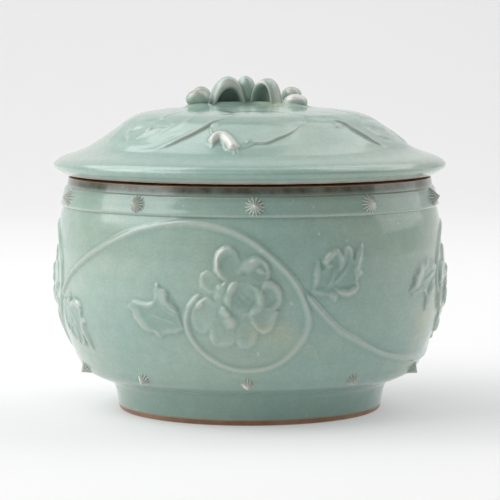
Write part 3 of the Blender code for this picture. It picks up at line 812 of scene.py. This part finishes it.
def curled_leaf(out, side):
    height, thin = lid_leaf(out, side, CURLED_LEAF, 0.45, 0.22)
    curl = ridges(out, side, CURL_FOLD, 0.16)
    folds = np.maximum(curl, ridges(out, side, CURLED_FOLDS))
    # The curl's crest is pushed to full pale: glaze thinning over it, with a painted highlight on
    # top.
    thin = np.maximum(0.45 * thin, 1.3 * smoothstep(0.5, 1.5, curl))
    return soft_max(height, folds, 0.4), thin


def carve_lid(chart):
    """Lay three broad leaves and three curled ones on the dome's chart."""
    radius = chart.line[:, 0]
    rows = np.flatnonzero((radius > 20) & (radius < 80))
    for kind, first, shape in (("broad", radians(-56), broad_leaf),
                               ("curled", radians(3), curled_leaf)):
        for k in range(3):
            azimuth = first + 2 * pi * k / 3
            turned_by = (chart.azimuth - azimuth + pi) % (2 * pi) - pi
            columns = np.flatnonzero(np.abs(turned_by) < radians(64))
            angle, r = np.meshgrid(turned_by[columns], radius[rows])
            height, thin = shape(r * np.cos(angle), r * np.sin(angle))
            chart.add(f"lid_leaf_{kind}_{k + 1}", rows, columns, height, thin)


# ---- the bowl
WALL_COLUMNS = 368     # round the turned pieces of the bowl
CHART_FINENESS = 5     # columns of the belly's chart for each of those


def below(level, fade, heights):
    """1 under a level, fading to 0 over the height above it."""
    return 1 - smoothstep(level, level + fade, heights)


def make_bowl():
    chart = Chart(smooth_line(BELLY_PROFILE, 0.3, 1.3), WALL_COLUMNS * CHART_FINENESS)
    carve_scroll(chart)
    chart.finish()
    chart.sheets(GLAZE, "bowl")

    inside = [(0.6, 19.4), (45.0, 19.7), (62.0, 21.0), (70.5, 24.0), (74.5, 28.5)]
    inside += [(r - WALL, z) for r, z in reversed(BELLY_PROFILE) if 31 < z < 106]
    inside += [(BELLY_PROFILE[0][0] - WALL, 106.4)]
    inside = smooth_line(inside, 2.1, 1.6)
    rim = smooth_line([tuple(inside[-1]), (79.0, RIM_TOP - 0.2), (79.6, RIM_TOP),
                       (81.7, RIM_TOP), (82.8, RIM_TOP - 0.4), tuple(chart.line[0])],
                      0.3, 0.28)[1:-1]
    outside = chart.line[::2]
    underside = np.array([(62.4, FLOOR_BOTTOM), (56.0, FLOOR_BOTTOM), (0.6, FLOOR_BOTTOM)])
    line = np.concatenate([inside, rim, outside, underside])
    heights = outside[:, 1]
    belly = slice(len(inside) + len(rim), len(inside) + len(rim) + len(outside))
    pale, pool = np.zeros((2, len(line), WALL_COLUMNS))
    pale[belly] = chart.pale[::2, ::CHART_FINENESS]
    pool[belly] = chart.pool[::2, ::CHART_FINENESS]
    # Darker towards the foot: painted shade under the belly's lower curve.
    pool[belly] += (0.12 * below(24.0, 16.0, heights) + 0.34 * below(18.5, 5.5, heights))[:, None]
    # Dark under the lid's overhang, fading down onto the band: mostly painted shade, with a brown
    # tint of thin glaze over iron-rich clay.
    burnt = np.zeros(len(line))
    burnt[belly] = (0.2 + 0.7 * smoothstep(102.6, 104.8, heights)) * \
        smoothstep(101.4, 102.6, heights)
    turned_piece("bowl_wall", line, WALL_COLUMNS, GLAZE, "bowl", ["bowl_wall"],
                 bare=smoothstep(106.3, 106.8, line[:, 1]), pale=pale, pool=pool, burnt=burnt)

    band = smooth_line([(83.2, 103.2), (84.2, 102.9), (84.8, 102.3), (85.5, 99.8),
                        (86.1, 97.0), (86.6, 95.8), (86.85, 95.0), (86.6, 94.3),
                        (85.6, 93.7), (84.6, 93.4)], 0.22, 0.30)
    back = np.array([(84.0, 95.0), (82.8, 102.5)])
    line = np.concatenate([band, back])
    pale, pool = profile_tone(line, 0.25)
    # Painted shade from the lid's overhang: a darker tone all round the band and a dark gradient
    # at its top.
    turned_piece("rim_band", line, WALL_COLUMNS, GLAZE, "bowl", ["rim_band"], closed=True,
                 pale=pale, pool=np.maximum(pool, 0.22),
                 burnt=0.30 * smoothstep(99.5, 103.4, line[:, 1]))

    foot = smooth_line([(67.5, 15.25), (65.5, 14.2), (63.8, 13.1), (62.7, 11.8), (62.1, 10.2),
                        (61.6, 8.4), (61.0, 5.0), (60.5, 1.6), (60.1, 0.5), (59.2, 0.0),
                        (53.0, 0.0), (52.0, 0.4), (51.5, 1.4), (50.6, 8.0), (50.2, 13.7),
                        (52.0, 16.5), (64.0, 17.0)], 0.45, 0.40)
    # Darker all over and more so towards the bottom: painted shade under the belly.
    turned_piece("foot_ring", foot, WALL_COLUMNS, FOOT_GLAZE, "bowl", ["foot_ring"],
                 closed=True, bare=below(1.6, 2.2, foot[:, 1]),
                 pool=0.52 + 0.14 * below(4.0, 10.0, foot[:, 1]))


def stud(name, azimuth, radius, height, tilt, base, rise, rays):
    """A spiked stud: a cone of ridges that meet at its tip."""
    rings, spokes = 18, rays * 8
    reach = np.linspace(0, 1, rings + 1)[1:]
    angle = 2 * pi * np.arange(spokes) / spokes
    ring, spoke = np.meshgrid(reach, angle, indexing="ij")
    ripple = (0.5 + 0.5 * np.cos(rays * spoke)) ** 1.5
    uneven = 1 + 0.08 * np.sin(2.4 * np.round(rays * spoke / (2 * pi)) + 7 * azimuth)
    cone = (rise - 0.5) * (1 - ring) ** 1.2 + 0.5 * (1 - ring ** 3)
    groove = 0.75 * smoothstep(0.04, 0.4, ring) * (1 - 0.75 * smoothstep(0.75, 1, ring))
    up = cone - groove * (1 - ripple)
    out = base * ring * (0.84 + 0.16 * uneven * ripple * ring + 0.06 * (1 - ring))
    u, v = out * np.cos(spoke), out * np.sin(spoke)
    up = up - u ** 2 / (2 * radius)
    # Pale rays where the glaze thins on the ridges, with a painted highlight at the whitish core
    # and tip.
    pale = np.clip(ripple * (1.3 - 0.4 * ring) + 1.6 * (1 - ring) ** 2, 0, 1)
    pool = np.clip(0.25 * (1 - ripple) * smoothstep(0.1, 0.5, ring) * (1.1 - ring), 0, 1)
    layers = {"pale": np.concatenate([[1.0], pale.ravel(), pale[-1] * 0, [0.0]]),
              "pool": np.concatenate([[0.0], pool.ravel(), pool[-1], [0.0]])}
    skirt = np.stack([u[-1], v[-1], up[-1] - 1.2], axis=-1)
    local = np.concatenate([[[0, 0, rise - 0.05]], np.stack([u, v, up], -1).reshape(-1, 3),
                            skirt, [[0, 0, -1.2]]])
    east = np.array([cos(azimuth), sin(azimuth), 0])
    outward = np.array([sin(azimuth), -cos(azimuth), 0])
    normal = outward * cos(tilt) + np.array([0, 0, sin(tilt)])
    north = np.cross(normal, east)
    centre = outward * radius + np.array([0, 0, height])
    points = centre + local[:, :1] * east + local[:, 1:2] * north + local[:, 2:] * normal
    make_piece(name, points, poled_faces(rings + 1, spokes), GLAZE, "bowl", [name], layers,
               sharp=70)


STUDS_IN_RING = 10
STUD_RINGS = (   # name, first azimuth, radius, height, tilt, base, rise, rays
    ("upper_stud", 1.4, 85.7, 98.6, radians(12), 4.5, 3.9, 14),
    ("lower_stud", -0.7, 77.3, 21.2, radians(-38), 3.4, 3.6, 12),
)


def make_studs():
    for k in range(STUDS_IN_RING):
        for name, first, *shape in STUD_RINGS:
            azimuth = radians(first) + 2 * pi * k / STUDS_IN_RING
            stud(f"{name}_{k + 1:02d}", azimuth, *shape)


# ---- the lid
SHELL_COLUMNS = 384
DOME_FINENESS = 4      # columns of the dome's chart for each of those


def make_lid():
    chart = Chart(smooth_line([(0.6, KNOB_FOOT)] + DOME_PROFILE[1:], 0.3, 1.5),
                  SHELL_COLUMNS * DOME_FINENESS)
    carve_lid(chart)
    chart.finish()
    chart.sheets(GLAZE, "lid")

    edge = smooth_line([tuple(chart.line[-1]), (89.8, 111.9), (89.1, 110.9), (87.8, 110.0),
                        (86.2, 109.0), (84.9, 108.3), (84.0, 108.1), (80.6, 108.4),
                        (80.0, LID_SEAT), (73.2, LID_SEAT), (72.2, 108.6), (71.4, 112.0)],
                       0.33, 0.35)[1:]
    ceiling = [(71.4, 112.0), (70.0, 116.2)]
    ceiling += [(r, z - LID_THICKNESS) for r, z in reversed(DOME_PROFILE) if 1 < r < 68]
    ceiling = smooth_line(ceiling + [(0.6, KNOB_FOOT - LID_THICKNESS)], 3.4, 1.8)[1:]
    outside = chart.line[::2]
    line = np.concatenate([outside, edge, ceiling])
    r, z = edge.T
    lip = slice(len(outside), len(outside) + len(edge))
    bare = np.zeros(len(line))
    bare[lip] = np.maximum(below(83.6, 1.0, r) * below(110.0, 1.5, z),
                           0.38 * below(108.8, 1.2, z))
    pale, pool = np.zeros((2, len(line), SHELL_COLUMNS))
    pale[:lip.start] = chart.pale[::2, ::DOME_FINENESS]
    pool[:lip.start] = chart.pool[::2, ::DOME_FINENESS]
    # Paler under the lid's edge: thin glaze at the edge, and painted light on a face that looks
    # down.
    pale[lip] = 0.84 * below(108.9, 1.7, z)[:, None]
    shell = turned_piece("lid_shell", line, SHELL_COLUMNS, GLAZE, "lid", ["lid_shell"],
                         bare=bare, pale=pale, pool=pool)

    spots = np.zeros(3 * len(shell.data.vertices), np.float32)
    shell.data.vertices.foreach_get("co", spots)
    spots = spots.reshape(-1, 3) / MM
    over = (spots[:, 2] > KNOB_FOOT - 3) & (np.hypot(spots[:, 0], spots[:, 1]) < 33)
    spots[over, 2] += knob_fillet(spots[over, 0], spots[over, 1])
    shell.data.vertices.foreach_set("co", (spots * MM).ravel())

    outer, top, bottom = FLANGE_HIGH[0], FLANGE_HIGH[2] + 0.3, FLANGE_LOW[2]
    inner = outer - 4.0
    ring = smooth_line([(outer - 0.4, top), (outer, top - 0.5), (outer - 0.1, bottom + 1.2),
                        (outer - 1.0, bottom), (inner + 0.9, bottom), (inner, bottom + 1.1),
                        (inner - 0.3, top - 1.0), (inner - 0.8, top)], 0.4, 0.35)
    turned_piece("lid_locating_flange", ring, 360, BISCUIT, "lid_ring",
                 ["lid_locating_flange"], closed=True)


HOODS = (   # name, middle, half-width, height, side wall, top wall, turn, brown
    ("knob_left_loop", (-10.6, 0), 8.5, 12.9, 2.6, 5, radians(22), 0.3),
    ("knob_right_loop", (8, 0), 6.9, 12.6, 2.1, 2.8, radians(-38), 0.15),
)
BUDS = (   # name, middle, radii, turn, lean, painted light on the top, brown
    ("knob_knot", (-1.9, 4, 5.6), (4.5, 4.6, 7.5), 0, 0, 0.25, 0.1),
    ("knob_bud_left_front", (-23.7, -7.2, 2.9), (5, 5, 4.2), radians(14), 0.6, 0.4, 0.42),
    ("knob_bud_left_back", (-22.4, 6.8, 3.9), (4.5, 4.7, 4.3), radians(-14), 1.4, 0.4, 0.38),
    ("knob_bud_right_front", (20.6, -8.2, 0.8), (5.4, 5.2, 4.3), radians(-14), 0.2, 1, 0),
    ("knob_bud_right_back", (19.2, 6, 3.7), (4.7, 4.7, 4.4), radians(14), 2.2, 0.8, 0.34),
)


def knob_fillet(x, y):
    """How far the glaze on the dome climbs towards each piece of the knob."""
    prints = [(middle, (half, 5.0), turn_by)
              for _, middle, half, _, _, _, turn_by, _ in HOODS]
    prints += [(middle, (0.85 * radii[0], 0.85 * radii[1]), turn_by)
               for _, middle, radii, turn_by, _, _, _ in BUDS]
    climb = np.zeros(x.shape)
    for middle, (a, b), turn_by in prints:
        u = (x - middle[0]) * cos(turn_by) + (y - middle[1]) * sin(turn_by)
        v = (y - middle[1]) * cos(turn_by) - (x - middle[0]) * sin(turn_by)
        away = np.maximum(np.hypot(u / a, v / b) - 1, 0) * (a + b) / 2
        climb = np.maximum(climb, 1.5 * np.exp(-(away / 1.9) ** 1.4))
    return climb


def hood(name, middle, half_width, height, side_wall, top_wall, turn_by, brown):
    """A ribbon curled into a hood: a pocket open at the front and closed at the back."""
    a, b = half_width, height
    c, d = half_width - side_wall, height - top_wall
    section = [(4.9, 0.0, 0.0), (4.8, 0.5 * a, 0.5 * b), (3.7, 0.85 * a, 0.86 * b),
               (1.2, a, b), (-1.6, a, b), (-3.8, 0.95 * a, 0.94 * b),
               (-5.3, 0.45 * a + 0.55 * c, 0.4 * b + 0.6 * d), (-5.0, 1.05 * c, 1.02 * d),
               (-3.4, 0.97 * c, 0.92 * d), (-1.0, 0.93 * c, 0.86 * d), (1.2, 0.8 * c, 0.7 * d),
               (2.5, 0.45 * c, 0.4 * d), (2.8, 0.0, 0.0)]
    line = smooth_line(section, 0.4, 0.8)
    line[0, 1:], line[-1, 1:] = 0, 0
    steps = 64
    t = np.linspace(-0.07, pi + 0.07, steps + 1)
    y, across, up = line[1:-1, 0:1], line[1:-1, 1:2], line[1:-1, 2:3]
    foot = 1 + 0.20 * np.exp(-np.maximum(up * np.sin(t), 0) / 1.4)
    wave = 1 + 0.03 * np.sin(3 * t + half_width)
    x = -across * np.cos(t) * foot * wave
    z = up * np.sin(t) * wave - 0.15
    rows = len(line) - 2
    grid = np.stack([x, np.broadcast_to(y, x.shape), z], axis=-1)
    points = np.concatenate([[[0, line[0, 0], -0.15]], grid.reshape(-1, 3),
                             [[0, line[-1, 0], -0.15]]])
    points = spin(points, turn_by) + np.array(middle + (KNOB_FOOT,))
    wide = steps + 1
    last = 1 + (rows - 1) * wide
    end = len(points) - 1
    faces = []
    for k in range(steps):
        faces.append([0, 1 + k, 2 + k])
        faces.append([end, last + k + 1, last + k])
        for i in range(rows - 1):
            p, q = 1 + i * wide + k, 1 + (i + 1) * wide + k
            faces.append([p, q, q + 1, p + 1])
    faces.append([0] + [1 + i * wide + steps for i in range(rows)] + [end])
    faces.append([end] + [1 + i * wide for i in range(rows)][::-1] + [0])
    inside = np.arange(rows) / rows
    lip = np.exp(-((line[1:-1, 0] + 5.0) / 1.3) ** 2)
    tall = np.clip(np.sin(t), 0, 1)
    pale = np.maximum(lip[:, None] * (0.4 + 0.6 * tall), 0.42)
    # Painted shade deep inside the pocket and at its closed end, and darker towards the hood's
    # foot.
    pool = 0.85 * smoothstep(0.58, 0.76, inside)[:, None] * np.ones(wide)
    pool = np.maximum(pool, 0.25 * np.exp(-np.maximum(z, 0) / 1.5))
    bare = brown * np.exp(-((line[1:-1, 0] + 4.8) / 1.4) ** 2)[:, None] * (0.2 + 0.8 * tall)
    layers = {"pale": np.pad(pale.ravel(), 1), "bare": np.pad(bare.ravel(), 1),
              "pool": np.pad(pool.ravel(), 1, constant_values=(0, 1))}
    make_piece(name, points, faces, GLAZE, "lid", [name], layers, sharp=75)


def bud(name, middle, radii, turn_by, lean, light, brown):
    """A rounded end of ribbon, with painted light on its crown and painted shade under it."""
    rings, around = 22, 36
    polar, azimuth = np.meshgrid(np.linspace(0, pi, rings + 1)[1:-1],
                                 2 * pi * np.arange(around) / around, indexing="ij")
    x = np.sin(polar) * np.cos(azimuth)
    y = np.sin(polar) * np.sin(azimuth)
    z = np.cos(polar)
    swell = 1 + 0.08 * np.cos(2 * azimuth + lean) * np.sin(polar)
    swell = swell + 0.08 * np.sin(3 * azimuth + 2 * lean) * np.sin(2 * polar + lean)
    local = np.stack([x * radii[0] * swell, y * radii[1] * swell, z * radii[2]], -1)
    local = np.concatenate([[[0, 0, radii[2]]], local.reshape(-1, 3), [[0, 0, -radii[2]]]])
    points = spin(local, turn_by) + np.array(middle) + np.array([0, 0, KNOB_FOOT])
    height = local[:, 2] / radii[2]
    # Painted light on the crown, as much as each bud catches, and painted shade underneath; the
    # brown on top is thin glaze.
    layers = {"pale": light * smoothstep(-0.4, 0.6, height),
              "pool": 0.8 * smoothstep(0.2, 0.9, -height),
              "bare": brown * smoothstep(-0.2, 0.7, height)}
    make_piece(name, points, poled_faces(rings - 1, around), GLAZE, "lid", [name], layers,
               sharp=75)


def make_knob():
    for spot in HOODS:
        hood(*spot)
    for spot in BUDS:
        bud(*spot)


# ---- studio
def make_backdrop():
    """Pale paper that runs back along the floor and curves up behind the bowl."""
    start, bend, radius, top, half = -2.0, 1.2, 0.9, 3.2, 3.0
    line = [(start, 0.0)]
    line += [(bend + radius * sin(a), radius * (1 - cos(a)))
             for a in np.linspace(0, pi / 2, 24)]
    line.append((bend + radius, top))
    points = [(side * half, y, z) for y, z in line for side in (-1, 1)]
    faces = [[2 * k, 2 * k + 1, 2 * k + 3, 2 * k + 2] for k in range(len(line) - 1)]
    mesh = bpy.data.meshes.new("backdrop")
    mesh.from_pydata(points, [], faces)
    mesh.materials.append(make_backdrop_material())
    mesh.shade_smooth()
    backdrop = bpy.data.objects.new("backdrop", mesh)
    bpy.context.scene.collection.objects.link(backdrop)


def soft_light(name, place, target, size, power):
    light = bpy.data.lights.new(name, "AREA")
    light.shape = "RECTANGLE"
    light.size, light.size_y = size
    light.energy = power
    lamp = bpy.data.objects.new(name, light)
    lamp.location = place
    direction = Vector(target) - lamp.location
    lamp.rotation_euler = direction.to_track_quat("-Z", "Y").to_euler()
    bpy.context.scene.collection.objects.link(lamp)


LIGHTS = (   # name, place, target, size, watts
    ("left_window", (-1.3, -0.36, 0.95), (0, 0, 0.08), (1.6, 1.4), 17.5),
    ("right_fill", (1.35, 0.35, 0.7), (0, 0, 0.08), (1.2, 1.1), 4.4),
    ("top_left", (-0.85, 0.4, 1.3), (0, 0, 0.08), (1.2, 1), 7),
    ("top_right", (0.8, 0.55, 1.3), (0, 0, 0.08), (1.2, 1), 4.6),
    ("top_front", (-0.45, -0.8, 1.4), (0, 0, 0.08), (1.5, 0.6), 3.6),
    ("wall_wash", (0, 0.55, 1.9), (0, 2.1, 0.5), (2.4, 0.6), 9),
)


def make_studio():
    make_backdrop()
    for light in LIGHTS:
        soft_light(*light)
    world = bpy.data.worlds.new("studio")
    world.use_nodes = True
    background = world.node_tree.nodes["Background"]
    background.inputs["Color"].default_value = (1, 1, 1, 1)
    background.inputs["Strength"].default_value = 0.19
    bpy.context.scene.world = world
    bpy.context.scene.view_settings.view_transform = "Standard"


def make_camera():
    camera = bpy.data.cameras.new("camera")
    camera.sensor_width = 36.0
    camera.lens = 185.9
    camera.clip_end = 20.0
    viewer = bpy.data.objects.new("camera", camera)
    viewer.location = (0.0001, -1.186, 0.1783)
    viewer.rotation_euler = (pi / 2 - 0.0889, 0, 0)
    bpy.context.scene.collection.objects.link(viewer)
    bpy.context.scene.camera = viewer


make_bowl()
make_studs()
make_lid()
make_knob()
make_camera()
make_studio()
